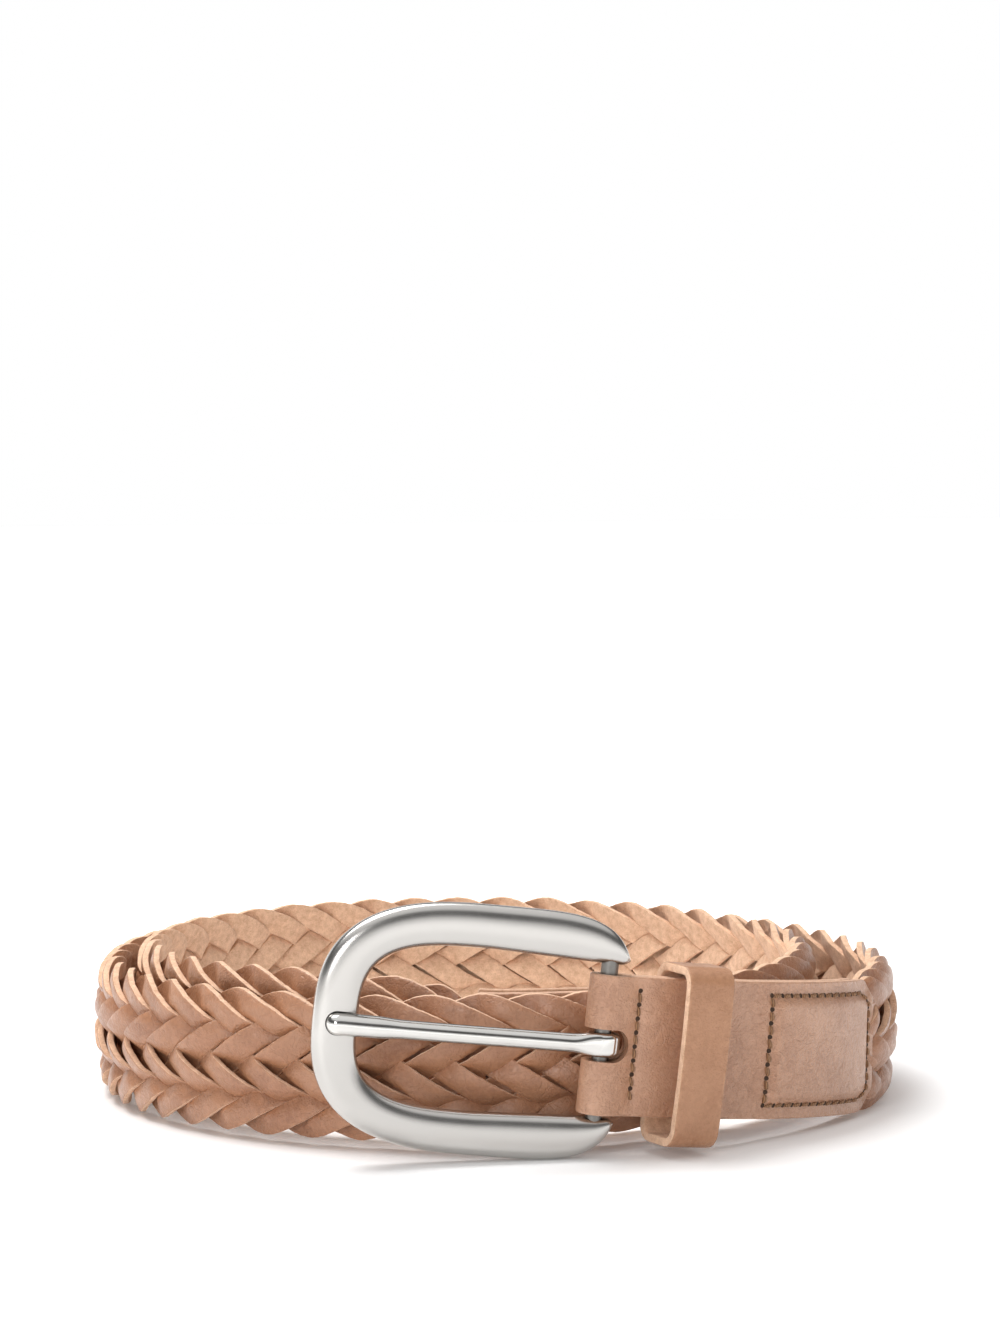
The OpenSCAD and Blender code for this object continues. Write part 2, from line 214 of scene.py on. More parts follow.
def group_of(name, inputs, outputs):
    """An empty shader group with its sockets, and its two end nodes."""
    group = bpy.data.node_groups.new(name, "ShaderNodeTree")
    for kind, sockets in (("INPUT", inputs), ("OUTPUT", outputs)):
        for label, socket, default in sockets:
            made = group.interface.new_socket(name=label, in_out=kind, socket_type=socket)
            if default is not None:
                made.default_value = default
    return group, group.nodes.new("NodeGroupInput"), group.nodes.new("NodeGroupOutput")


def texture(tree, kind, vector, scale, **settings):
    node = tree.nodes.new("ShaderNodeTex" + kind)
    node.inputs["Scale"].default_value = scale
    for key, value in settings.items():
        if key in node.inputs:
            node.inputs[key].default_value = value
        else:
            setattr(node, key, value)
    tree.links.new(vector, node.inputs["Vector"])
    return node


def math_node(tree, operation, a, b=None, clamp=False):
    node = tree.nodes.new("ShaderNodeMath")
    node.operation, node.use_clamp = operation, clamp
    for socket, value in zip(node.inputs, (a, b)):
        if value is None:
            continue
        if isinstance(value, (int, float)):
            socket.default_value = value
        else:
            tree.links.new(value, socket)
    return node.outputs[0]


def colour_mix(tree, factor, a, b):
    node = tree.nodes.new("ShaderNodeMix")
    node.data_type = "RGBA"
    for socket, value in ((node.inputs["Factor"], factor), (node.inputs[6], a),
                          (node.inputs[7], b)):
        if isinstance(value, tuple):
            socket.default_value = (*value, 1)
        else:
            tree.links.new(value, socket)
    return node.outputs[2]


def stretch(tree, low, high, value, to_low=0.0, to_high=1.0):
    node = tree.nodes.new("ShaderNodeMapRange")
    for socket, number in zip(node.inputs[1:5], (low, high, to_low, to_high)):
        socket.default_value = number
    tree.links.new(value, node.inputs[0])
    return node.outputs[0]


# Grain of smooth leather: fine pores, creases a few millimetres long, and slow changes of tone
leather_grain, grain_in, grain_out = group_of(
    "leather_grain",
    [("Vector", "NodeSocketVector", None), ("Crease", "NodeSocketFloat", 0.5)],
    [("Height", "NodeSocketFloat", None), ("Tone", "NodeSocketFloat", None),
     ("Blotch", "NodeSocketFloat", None)])
PORE_DEPTH, PEBBLE_DEPTH = 0.45, 0.6
PEBBLE_TONE, CREASE_TONE = 0.55, 0.45
pores = texture(leather_grain, "Voronoi", grain_in.outputs["Vector"], scale=1900, Randomness=1.0)
pebble = texture(leather_grain, "Noise", grain_in.outputs["Vector"], scale=1300, Detail=3.0)
creases = texture(leather_grain, "Noise", grain_in.outputs["Vector"], scale=330, Detail=4.0,
                  Distortion=0.6)
blotch = texture(leather_grain, "Noise", grain_in.outputs["Vector"], scale=55, Detail=4.0)
crease_line = stretch(leather_grain, 0.0, 0.06, math_node(
    leather_grain, "ABSOLUTE", math_node(leather_grain, "SUBTRACT", creases.outputs[0], 0.5)))
pore_depth = stretch(leather_grain, 0.0, 0.55, pores.outputs["Distance"])
height = math_node(leather_grain, "ADD",
                   math_node(leather_grain, "MULTIPLY", pore_depth, PORE_DEPTH),
                   math_node(leather_grain, "MULTIPLY", pebble.outputs[0], PEBBLE_DEPTH))
crease_part = math_node(leather_grain, "MULTIPLY", crease_line, grain_in.outputs["Crease"])
height = math_node(leather_grain, "ADD", height, crease_part)
tone = math_node(leather_grain, "ADD",
                 math_node(leather_grain, "MULTIPLY", pebble.outputs[0], PEBBLE_TONE),
                 math_node(leather_grain, "MULTIPLY", creases.outputs[0], CREASE_TONE))
link(leather_grain, (height, grain_out.inputs["Height"]),
     (stretch(leather_grain, 0.35, 0.65, tone), grain_out.inputs["Tone"]),
     (stretch(leather_grain, 0.35, 0.65, blotch.outputs[0]), grain_out.inputs["Blotch"]))


BLOTCH_SHARE, WORN_SHARE = 0.45, 0.55


def grain_leather(name, dark, mid, light, rough, crease, bump, coat=0.1):
    """Smooth leather with its grain, and paler where an edge is rubbed."""
    material, tree, shader = new_material(name)
    place = tree.nodes.new("ShaderNodeTexCoord")
    grain = tree.nodes.new("ShaderNodeGroup")
    grain.node_tree = leather_grain
    grain.inputs["Crease"].default_value = crease
    rim = tree.nodes.new("ShaderNodeAttribute")
    rim.attribute_name = "rim"
    worn = math_node(tree, "MULTIPLY", rim.outputs["Fac"], grain.outputs["Tone"], clamp=True)
    base = colour_mix(tree, grain.outputs["Tone"], dark, mid)
    patch = math_node(tree, "MULTIPLY", grain.outputs["Blotch"], BLOTCH_SHARE)
    base = colour_mix(tree, patch, base, light)
    base = colour_mix(tree, math_node(tree, "MULTIPLY", worn, WORN_SHARE), base, light)
    relief = tree.nodes.new("ShaderNodeBump")
    relief.inputs["Strength"].default_value = bump
    relief.inputs["Distance"].default_value = 0.2 * MM
    link(tree, (place.outputs["Object"], grain.inputs["Vector"]),
         (base, shader.inputs["Base Color"]),
         (stretch(tree, 0, 1, grain.outputs["Tone"], *rough[::-1]), shader.inputs["Roughness"]),
         (grain.outputs["Height"], relief.inputs["Height"]),
         (relief.outputs[0], shader.inputs["Normal"]))
    shader.inputs["Specular IOR Level"].default_value = 0.5
    shader.inputs["Coat Weight"].default_value = coat
    shader.inputs["Coat Roughness"].default_value = 0.32
    return material


# Fibres of cut and unfinished leather
raw_fibre, fibre_in, fibre_out = group_of(
    "raw_fibre", [("Vector", "NodeSocketVector", None)],
    [("Height", "NodeSocketFloat", None), ("Tone", "NodeSocketFloat", None)])
fuzz = texture(raw_fibre, "Noise", fibre_in.outputs["Vector"], scale=2600, Detail=5.0,
               Distortion=1.2)
tufts = texture(raw_fibre, "Noise", fibre_in.outputs["Vector"], scale=620, Detail=3.0)
fibre_height = math_node(raw_fibre, "ADD", fuzz.outputs[0], tufts.outputs[0])
link(raw_fibre, (fibre_height, fibre_out.inputs["Height"]),
     (stretch(raw_fibre, 0.7, 1.3, fibre_height), fibre_out.inputs["Tone"]))


def raw_leather(name, dark, light, bump=0.7):
    """The pale fibrous leather of a cut edge or a flesh side."""
    material, tree, shader = new_material(name)
    place = tree.nodes.new("ShaderNodeTexCoord")
    fibre = tree.nodes.new("ShaderNodeGroup")
    fibre.node_tree = raw_fibre
    relief = tree.nodes.new("ShaderNodeBump")
    relief.inputs["Strength"].default_value = bump
    relief.inputs["Distance"].default_value = 0.25 * MM
    link(tree, (place.outputs["Object"], fibre.inputs["Vector"]),
         (colour_mix(tree, fibre.outputs["Tone"], dark, light), shader.inputs["Base Color"]),
         (stretch(tree, 0, 1, fibre.outputs["Tone"], 0.95, 0.8), shader.inputs["Roughness"]),
         (fibre.outputs["Height"], relief.inputs["Height"]),
         (relief.outputs[0], shader.inputs["Normal"]))
    shader.inputs["Specular IOR Level"].default_value = 0.2
    shader.inputs["Sheen Weight"].default_value = 0.15
    return material


tab_grain = grain_leather("tab_grain", dark=(0.35, 0.168, 0.094), mid=(0.495, 0.262, 0.158),
                          light=(0.62, 0.36, 0.236), rough=(0.26, 0.42), crease=0.4, bump=1.0,
                          coat=0.3)
cut_edge = raw_leather("cut_edge", dark=(0.48, 0.275, 0.17), light=(0.70, 0.45, 0.31))

SLEEVE_SEAM_IN = 4 * MM
sleeve_seam_s = (SLEEVE_START + SLEEVE_SEAM_IN, SLEEVE_END - SEAM_MARGIN)


def leaf_offset(s, w):
    """Distance of a leaf's middle from the strap's: closed, then swelling over the braid."""
    shut = mix(FOLD_MID, CLOSED_MID, ramp(s / FOLD_SEAM))
    pressed = SWELL_LOST_AT_EDGE * ramp((abs(w) - SWELL_EDGE) / SWELL_EDGE_RUN)
    swell = ramp((s - SLEEVE_START) / SWELL_RUN) * (1 - pressed)
    return np.where(s < SLEEVE_START, shut, mix(CLOSED_MID, SLEEVE_MID, swell))


def rounded_half(s, end, half, radius):
    """Half the width of a strip whose end has rounded corners."""
    over = np.clip(s - end + radius, 0, radius)
    return half - radius + np.sqrt(radius**2 - over**2)


def seam_groove(s, w):
    """How far the thread pulls the leather in along the seams."""
    first, last = sleeve_seam_s
    lines = [np.hypot(s - FOLD_SEAM, np.maximum(0, abs(w) - SEAM_W)),
             np.hypot(abs(w) - SEAM_W, np.maximum(0, first - s) + np.maximum(0, s - last)),
             np.hypot(s - first, np.maximum(0, abs(w) - SEAM_W)),
             np.hypot(s - last, np.maximum(0, abs(w) - SEAM_W))]
    near = np.min(lines, axis=0)
    return GROOVE_DEPTH * np.exp(-((near / GROOVE_W) ** 2))


half_fold = FOLD_MID * math.pi / 2
leaf_len = SLEEVE_END + half_fold
tab = leather_strip("tab", 2 * leaf_len, TAB_W, LEATHER_T, 230, 40, LEATHER_ROUND)
flat = flat_points(tab)
side = np.sign(flat[:, 0])
s = abs(flat[:, 0]) - half_fold
w = flat[:, 1] * rounded_half(s, SLEEVE_END, TAB_W / 2, SLEEVE_CORNER) / (TAB_W / 2)
depth = leaf_offset(s, w) + flat[:, 2] - np.where(flat[:, 2] > 0, seam_groove(s, w), 0)
leaves = on_strap(np.maximum(s, 0), w, side * depth)
bar_at, bar_along, bar_across, bar_out = strap_axes(np.zeros(1))
turn = np.pi / 2 - flat[:, 0] / FOLD_MID
round_bar = (bar_at + bar_across * w[:, None]
             + (bar_out * np.cos(turn)[:, None] - bar_along * np.sin(turn)[:, None])
             * (FOLD_MID + flat[:, 2])[:, None])
lay(tab, np.where((s < 0)[:, None], round_bar, leaves))

# slot for the prong, cut through both leaves
bar_axes = Matrix.Identity(4)
for column, axis in enumerate((bar_along[0], -bar_out[0], bar_across[0], bar_at[0])):
    for row in range(3):
        bar_axes[row][column] = axis[row]
slot_middle = SLOT_END - SLOT_W / 2
CUT_DEPTH, CUT_REACH = 16 * MM, 10 * MM


def cut_away(piece, cutter):
    cut = piece.modifiers.new("cut", "BOOLEAN")
    cut.object, cut.operation, cut.solver = cutter, "DIFFERENCE", "EXACT"
    bpy.context.view_layer.objects.active = piece
    bpy.ops.object.modifier_apply(modifier="cut")
    bpy.data.objects.remove(cutter)


bpy.ops.mesh.primitive_cylinder_add(vertices=48, radius=SLOT_W / 2, depth=CUT_DEPTH)
round_end_cutter = bpy.context.object
round_end_cutter.data.transform(
    bar_axes @ Matrix.Translation((slot_middle, 0, 0))
    @ Matrix.Rotation(math.pi / 2, 4, "X"))
cut_away(tab, round_end_cutter)
bpy.ops.mesh.primitive_cube_add(size=1)
straight_cutter = bpy.context.object
straight_cutter.data.transform(
    bar_axes @ Matrix.Translation(((slot_middle - CUT_REACH) / 2, 0, 0))
    @ Matrix.Diagonal((CUT_REACH + slot_middle, CUT_DEPTH, SLOT_W, 1)))
cut_away(tab, straight_cutter)
cover(tab, tab_grain, cut_edge)
face_outwards(tab)
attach(tab, "belt")
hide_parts("tab_strap")

# ---- Braid ----------------------------------------------------------------
# Nine strips of the same leather, 5.5 mm wide, are plaited over two and
# under two. Each turns back at the strap's edge without twisting, so the
# grain stays outside, and its pale cut edges show where it laps the next.
STRANDS = 9
PITCH = 11.3 * MM
TRAVERSE = STRANDS * PITCH / 2
ZIGZAG_W = 14.5 * MM
STRIP_W = 5.45 * MM
STRIP_T = 1.5 * MM
STEP_OUT = 1.25 * MM
LAP = 1.0 * MM
CROWN = 2.3 * MM
STRIP_DOME = 0.5 * MM
TURN_BEND = 1.9 * MM
STEEPER_MIDDLE = 0.14
STEP_SHARPNESS = 1.7
RINGS_A_PASS = 88
# how far the braid is pressed narrower and thinner inside the sleeve and the tip
GRIP_SHARE, GRIP_THIN = 0.74, 0.72
BRAID_START = SLEEVE_START + 9 * MM
TIP_LEN, TIP_GRIP = 54 * MM, 22 * MM
TIP_START = STRAP_LEN - TIP_LEN
BRAID_END = TIP_START + TIP_GRIP
# where the braid has opened to its full width again, on leaving the sleeve or the tip
SLEEVE_MOUTH, OPENS_OVER = SLEEVE_END - 6 * MM, 8 * MM
TIP_MOUTH, CLOSES_OVER = TIP_START + 2 * MM, 13 * MM
# hand-cut unevenness: of a strip's width, path, cut edge and face
WIDTH_WANDER, PATH_WANDER, EDGE_WANDER, FACE_WANDER = 0.05, 0.22 * MM, 0.07 * MM, 0.1 * MM
WANDER_STEPS = 400
lay_angle = math.atan(2 * ZIGZAG_W / TRAVERSE)
crossing_gap = TRAVERSE / math.cos(lay_angle) / STRANDS


def spread(s):
    """0 where the sleeve or the tip grips the braid, and 1 where it lies open."""
    return ramp((s - SLEEVE_MOUTH) / OPENS_OVER) * ramp((TIP_MOUTH - s) / CLOSES_OVER)


def slow_noise(x, seed, period):
    """Smooth random wander, repeatable for a seed."""
    rng = np.random.default_rng(seed)
    values = rng.uniform(-1, 1, WANDER_STEPS)
    place = np.mod(x / period + 40, WANDER_STEPS - 2)
    i = place.astype(int)
    return mix(values[i], values[i + 1], ramp(place - i))


def braid_strip(number):
    """One strip of the plait, laid along its zigzag from the sleeve to the tip."""
    first = (BRAID_START + number * PITCH) / TRAVERSE
    last = (BRAID_END + number * PITCH) / TRAVERSE
    rings = int((last - first) * RINGS_A_PASS)
    strip = leather_strip(f"strand_strip_{number + 1}", last - first, STRIP_W, STRIP_T,
                          rings, 8, 0.2 * MM)
    flat = flat_points(strip)
    g = flat[:, 0] + (first + last) / 2
    v = flat[:, 1]
    share = v / (STRIP_W / 2)

    def path(g):
        """Place of the strip's middle along and across the strap, g passes along it."""
        nearest = np.round(g)
        off = g - nearest
        up = np.where(np.mod(nearest, 2) == 0, 1, -1)
        soft = TURN_BEND * (1 - ramp(abs(off) / 0.5))
        w = up * (ZIGZAG_W - np.sqrt((2 * ZIGZAG_W * off) ** 2 + soft**2))
        # steeper in the middle, where the plait opens, and flatter where it crowds at the edges
        w = w * (1 + STEEPER_MIDDLE - STEEPER_MIDDLE * (w / ZIGZAG_W) ** 2)
        return g * TRAVERSE - number * PITCH, w

    s0, w0 = path(g)
    s1, w1 = path(g + 1e-4)
    ds, dw = s1 - s0, w1 - w0
    size = np.hypot(ds, dw)
    left = (-dw / size, ds / size)
    # each kind of unevenness has seeds of its own
    wide = 1 + WIDTH_WANDER * slow_noise(g, number, 0.21)
    drift = PATH_WANDER * slow_noise(g, 40 + number, 0.16)
    rough = EDGE_WANDER * slow_noise(g, 80 + number, 0.012) * (abs(share) > 0.9)
    across = v * wide + drift + rough * np.sign(share)
    s = s0 + left[0] * across
    w = w0 + left[1] * across

    ninth = np.mod(g, 1) * STRANDS
    down = np.where(np.mod(np.floor(g), 2) == 0, 1, -1)
    # crossings lie askew over a strip, so its two edges meet them at different places
    from_turn = np.minimum(ninth, STRANDS - ninth)
    shift = -down * v / math.tan(2 * lay_angle) / crossing_gap * ramp(from_turn / 1.2)
    place = np.clip(ninth + shift, 0, STRANDS)
    # over two and under two: the strip's height swings between crossings
    phase = np.interp(place, [0, 1.5, 3.5, 5.5, 7.5, 9], [0, 1, 3, 5, 7, 8]) * np.pi / 2
    high = np.tanh(STEP_SHARPNESS * np.sin(phase)) / np.tanh(STEP_SHARPNESS)
    # which of its edges a strip lifts, so that its neighbour tucks under it
    keys = [0, 1, 2, 3, 4.2, 6.5, 7.2, 8, 9]
    lean = np.where(down > 0, np.interp(place, keys, [0, 1, 1, 0.6, 1, 1, 0.6, 1, 0]),
                    np.interp(place, keys, [0, -1, -1, 0, 1, 1, 0, -1, 0]))
    n = STEP_OUT * high + LAP * lean * share
    n = n + STRIP_DOME * (1 - share**2) * high
    n = n + FACE_WANDER * slow_noise(g, 120 + number, 0.09) + flat[:, 2]
    opened = spread(s)
    crown = CROWN * (1 - np.clip(2 * w / BRAID_W, -1, 1) ** 2)
    lay(strip, on_strap(s, w * mix(GRIP_SHARE, 1, opened),
                        n * mix(GRIP_THIN, 1, opened) + opened * crown))
    return strip


braid_grain = grain_leather("braid_grain", dark=(0.265, 0.11, 0.053), mid=(0.385, 0.177, 0.092),
                            light=(0.50, 0.255, 0.143), rough=(0.3, 0.46), crease=0.5, bump=0.8,
                            coat=0.2)
strip_edge = raw_leather("strip_edge", dark=(0.62, 0.375, 0.235), light=(0.90, 0.61, 0.42),
                         bump=0.9)
for number in range(STRANDS):
    strip = braid_strip(number)
    cover(strip, braid_grain, strip_edge)
    face_outwards(strip)
    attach(strip, "belt")
    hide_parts(f"strand_{number + 1}")

# ---- Tip ------------------------------------------------------------------
# Two round-ended leaves of the tab's leather close the hidden inner end of
# the braid and are stitched to each other round their edge.
TIP_CORNER = 13 * MM
TIP_CLOSE, TIP_CLOSE_RUN = TIP_START + TIP_GRIP + 1 * MM, 7 * MM


def tip_offset(s):
    """Distance of a tip leaf's middle from the strap's."""
    return mix(SLEEVE_MID, CLOSED_MID, ramp((s - TIP_CLOSE) / TIP_CLOSE_RUN))


for name, node, side in (("tip_outer_leaf", "tip_front", 1), ("tip_inner_leaf", "tip_back", -1)):
    leaf = leather_strip(name, TIP_LEN, TAB_W, LEATHER_T, 96, 36, LEATHER_ROUND)
    flat = flat_points(leaf)
    s = TIP_START + TIP_LEN / 2 + side * flat[:, 0]
    w = flat[:, 1] * rounded_half(s, STRAP_LEN, TAB_W / 2, TIP_CORNER) / (TAB_W / 2)
    lay(leaf, on_strap(s, w, side * (tip_offset(s) + flat[:, 2])))
    cover(leaf, tab_grain, cut_edge)
    face_outwards(leaf)
    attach(leaf, "belt")
    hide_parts(node)

# ---- Stitching ------------------------------------------------------------
# Waxed brown linen thread, sewn by machine at 3 mm a stitch through awl holes
# that stay open at each end of a stitch; the shade inside each hole is painted as a dark disc.
STITCH_PITCH, STITCH_SHARE = 3 * MM, 0.41
THREAD_R = 0.42 * MM
# size and sinking of the dark discs painted as the shade inside the awl holes
HOLE_R, HOLE_HALF_DEPTH, HOLE_SUNK = 0.52 * MM, 0.2 * MM, 0.14 * MM
# a stitch's slant off its seam, and how much that differs between stitches
SLANT, SLANT_WANDER = 0.2 * MM, 0.1 * MM

thread_wax, tree, shader = new_material("thread_wax")
place = tree.nodes.new("ShaderNodeTexCoord")
ply = texture(tree, "Wave", place.outputs["Object"], scale=700, Distortion=2.0)
ply_relief = tree.nodes.new("ShaderNodeBump")
ply_relief.inputs["Distance"].default_value = 0.1 * MM
link(tree, (colour_mix(tree, ply.outputs["Fac"], (0.15, 0.068, 0.03), (0.38, 0.205, 0.10)),
            shader.inputs["Base Color"]),
     (ply.outputs["Fac"], ply_relief.inputs["Height"]),
     (ply_relief.outputs[0], shader.inputs["Normal"]),
     (stretch(tree, 0, 1, ply.outputs["Fac"], 0.5, 0.75), shader.inputs["Roughness"]))
# near-black speckled colour of those discs, painted as the shade inside each hole
painted_hole_shade, tree, shader = new_material("painted_hole_shade")
place = tree.nodes.new("ShaderNodeTexCoord")
hole_shade_speckle = texture(tree, "Noise", place.outputs["Object"], scale=900)
link(tree, (colour_mix(tree, hole_shade_speckle.outputs["Fac"], (0.02, 0.01, 0.005), (0.07, 0.035, 0.018)),
            shader.inputs["Base Color"]),
     (stretch(tree, 0, 1, hole_shade_speckle.outputs["Fac"], 0.8, 1.0), shader.inputs["Roughness"]))

bpy.ops.mesh.primitive_uv_sphere_add(segments=8, ring_count=8, radius=1)
stitch_form = bpy.context.object
stitch_points = flat_points(stitch_form)
stitch_faces = [tuple(f.vertices) for f in stitch_form.data.polygons]
bpy.data.objects.remove(stitch_form)
bpy.ops.mesh.primitive_cylinder_add(vertices=12, radius=1, depth=2)
hole_form = bpy.context.object
hole_points = flat_points(hole_form)
hole_faces = [tuple(f.vertices) for f in hole_form.data.polygons]
bpy.data.objects.remove(hole_form)


def stitched_line(corners, seams, surface):
    """Stitches, and dark discs of painted shade in the awl holes, of a seam on both leaves, along
    lines between its corners.
    """
    verts, faces, kinds = [], [], []

    def add(points, form_faces, kind):
        start = sum(len(v) for v in verts)
        verts.append(points)
        faces.extend(tuple(i + start for i in f) for f in form_faces)
        kinds.extend([kind] * len(form_faces))

    for start, end in seams:
        a, b = np.array(corners[start]), np.array(corners[end])
        count = max(1, round(np.linalg.norm(b - a) / STITCH_PITCH))
        step = (b - a) / count
        run = unit(step)
        aside = np.array([-run[1], run[0]])
        for i in range(count):
            mid = a + step * (i + 0.5)
            slant = SLANT + SLANT_WANDER * math.sin(37.0 * i + 100 * start)
            reach = np.linalg.norm(step) * STITCH_SHARE
            for side in (1, -1):
                x, y, z = (stitch_points * [reach, THREAD_R, THREAD_R]).T
                s, w = (mid + np.outer(x, run) + np.outer(y + slant * x / reach, aside)).T
                # the thread dives into the leather at both ends
                rise = z + THREAD_R * (0.7 - 1.7 * (x / reach) ** 4)
                add(on_strap(s, w, side * (surface(s, w) + rise)), stitch_faces, 0)
                # a dark disc just proud of the leather at each hole: painted shade
                x, y, z = (hole_points * [HOLE_R, HOLE_R, HOLE_HALF_DEPTH]).T
                s, w = (a + step * i + np.outer(x, run) + np.outer(y, aside)).T
                add(on_strap(s, w, side * (surface(s, w) - HOLE_SUNK + z)), hole_faces, 1)
    return np.vstack(verts), faces, kinds


def sew(name, node, corners, seams, surface):
    verts, faces, kinds = stitched_line(corners, seams, surface)
    mesh = bpy.data.meshes.new(name)
    mesh.from_pydata(verts.tolist(), [], faces)
    mesh.materials.append(thread_wax)
    mesh.materials.append(painted_hole_shade)
    mesh.polygons.foreach_set("material_index", kinds)
    seam = bpy.data.objects.new(name, mesh)
    bpy.context.scene.collection.objects.link(seam)
    face_outwards(seam, 60)
    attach(seam, "belt")
    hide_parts(node)


def tab_surface(s, w):
    return leaf_offset(s, w) + LEATHER_T / 2 - seam_groove(s, w)


def tip_surface(s, w):
    return tip_offset(s) + LEATHER_T / 2


sew("fold_seam_thread", "fold_stitching", [(FOLD_SEAM, SEAM_W), (FOLD_SEAM, -SEAM_W)],
    [(0, 1)], tab_surface)
first, last = sleeve_seam_s
CORNER_CUT = 3.5 * MM
sew("sleeve_seam_thread", "sleeve_stitching",
    [(first, SEAM_W), (last - CORNER_CUT, SEAM_W), (last, SEAM_W - CORNER_CUT),
     (last, CORNER_CUT - SEAM_W), (last - CORNER_CUT, -SEAM_W), (first, -SEAM_W)],
    [(0, 1), (1, 2), (2, 3), (3, 4), (4, 5), (5, 0)], tab_surface)
back = STRAP_LEN - TIP_CORNER
NOSE_RUN, NOSE_IN = 6 * MM, 3 * MM
sew("tip_seam_thread", "tip_stitching",
    [(TIP_START + SEAM_MARGIN, SEAM_W), (back, SEAM_W), (back + NOSE_RUN, SEAM_W - NOSE_IN),
     (STRAP_LEN - SEAM_MARGIN, 0), (back + NOSE_RUN, NOSE_IN - SEAM_W), (back, -SEAM_W),
     (TIP_START + SEAM_MARGIN, -SEAM_W)],
    [(0, 1), (1, 2), (2, 3), (3, 4), (4, 5), (5, 6), (6, 0)], tip_surface)

# ---- Buckle ---------------------------------------------------------------
# An open-ended oval frame, cast in zinc alloy and satin plated, with a domed
# band whose arms taper to rounded ends. A steel bar is pressed between them.
FRAME_RISE = 0.7 * MM
REST_SWING = math.radians(6)
FRAME_H, WINDOW_H = 53.4 * MM, 35 * MM
# the outline is widest at the crown, and runs from there to the arms and the far end
CROWN_X, ARM_X, FAR_X, WINDOW_X = -26 * MM, 31.4 * MM, 36 * MM, 26.5 * MM
ARM_POWER, FAR_POWER, WINDOW_POWER = 4.4, 2.7, 3.3
ARM_INNER = 16.4 * MM
ARM_BLUNT, ARM_BLUNT_RUN = 0.9 * MM, 2.2 * MM
ARM_SHARE, ARM_SPACING = 0.4, 1.6
FRAME_T = 5 * MM
FRONT_POWER, BACK_POWER = 2.5, 5.0
TAPER_SHARE, END_THIN = 0.06, 0.62
ROUND_SHARE, END_NARROW = 0.03, 0.9
swung_in = Matrix.Rotation(-REST_SWING, 4, "Z")
frame_axes = bar_axes @ Matrix.Translation((0, 0, FRAME_RISE)) @ swung_in


def oval(a, x_reach, z_reach, power):
    """Points of a superellipse's quarter, left of the crown."""
    ca, sa = np.clip(np.cos(a), 0, 1), np.clip(np.sin(a), 0, 1)
    return np.stack([CROWN_X - x_reach * ca ** (2 / power), z_reach * sa ** (2 / power)], -1)


def band_edges(t):
    """Inner and outer edge of the frame's band, from the upper arm's end, t=0, to the lower's."""
    up = np.where(t < 0.5, 1, -1)
    t = np.where(t < 0.5, t, 1 - t) * 2
    half_h = FRAME_H / 2
    blunt_z = ARM_INNER + ARM_BLUNT
    tip = CROWN_X + ARM_X * (1 - (blunt_z / half_h) ** ARM_POWER) ** (1 / ARM_POWER)
    x = tip + (CROWN_X - tip) * np.clip(t / ARM_SHARE, 0, 1) ** ARM_SPACING
    bow = np.clip((x - CROWN_X) / ARM_X, 0, 1) ** ARM_POWER
    arm_out = half_h * (1 - bow) ** (1 / ARM_POWER)
    arm_in = mix(WINDOW_H / 2, ARM_INNER, np.clip((x - CROWN_X) / -CROWN_X, 0, 1))
    arm_in = arm_in + ARM_BLUNT * np.clip(1 - (tip - x) / ARM_BLUNT_RUN, 0, 1) ** 2
    a = (1 - np.clip((t - ARM_SHARE) / (1 - ARM_SHARE), 0, 1)) * np.pi / 2
    on_arm = (t < ARM_SHARE)[:, None]
    outer = np.where(on_arm, np.stack([x, arm_out], -1), oval(a, FAR_X, half_h, FAR_POWER))
    inner = np.where(on_arm, np.stack([x, arm_in], -1),
                     oval(a, WINDOW_X, WINDOW_H / 2, WINDOW_POWER))
    flip = np.stack([np.ones_like(up), up], -1)
    return inner * flip, outer * flip


def end_arc(share):
    """Quarter circle from 0 at a bar's end to 1 where its full section starts."""
    return np.sqrt(np.clip(1 - (1 - np.clip(share, 0, 1)) ** 2, 0, 1))


def box_round(around, power):
    """Cross-section between a circle, power 2, and a box."""
    ca, sa = np.cos(around), np.sin(around)
    return np.sign(ca) * abs(ca) ** (2 / power), np.sign(sa) * abs(sa) ** (2 / power)


bpy.ops.mesh.primitive_uv_sphere_add(segments=48, ring_count=160, radius=1)
buckle = bpy.context.object
buckle.name = buckle.data.name = "buckle_band"
ball = flat_points(buckle)
t = np.arccos(np.clip(ball[:, 2], -1, 1)) / np.pi
around = np.arctan2(ball[:, 1], ball[:, 0])
inner, outer = band_edges(t)
from_end = np.minimum(t, 1 - t)
round_off = end_arc(from_end / ROUND_SHARE)
across, depth = box_round(around, np.where(np.sin(around) < 0, FRONT_POWER, BACK_POWER))
half_t = FRAME_T / 2 * mix(END_THIN, 1, ramp(from_end / TAPER_SHARE))
half_band = (outer - inner) / 2 * mix(END_NARROW, 1, round_off)[:, None]
band = (inner + outer) / 2 + half_band * across[:, None]
lay(buckle, np.stack([band[:, 0], depth * half_t * round_off, band[:, 1]], -1))
buckle.data.transform(frame_axes)

# the seat that the prong's tip drops into: a round-ended trough
SEAT_R, SEAT_LEN = 2.75 * MM, 12 * MM
SEAT_X, SEAT_Y = -57 * MM, -FRAME_T / 2 - 0.9 * MM
seat_axes = bar_axes @ swung_in @ Matrix.Translation((SEAT_X, SEAT_Y, 0))
bpy.ops.mesh.primitive_uv_sphere_add(segments=48, ring_count=24, radius=SEAT_R)
bpy.context.object.data.transform(seat_axes)
cut_away(buckle, bpy.context.object)
bpy.ops.mesh.primitive_cylinder_add(vertices=48, radius=SEAT_R, depth=SEAT_LEN)
bpy.context.object.data.transform(seat_axes @ Matrix.Translation((SEAT_LEN / 2, 0, 0))
                                  @ Matrix.Rotation(math.pi / 2, 4, "Y"))
cut_away(buckle, bpy.context.object)

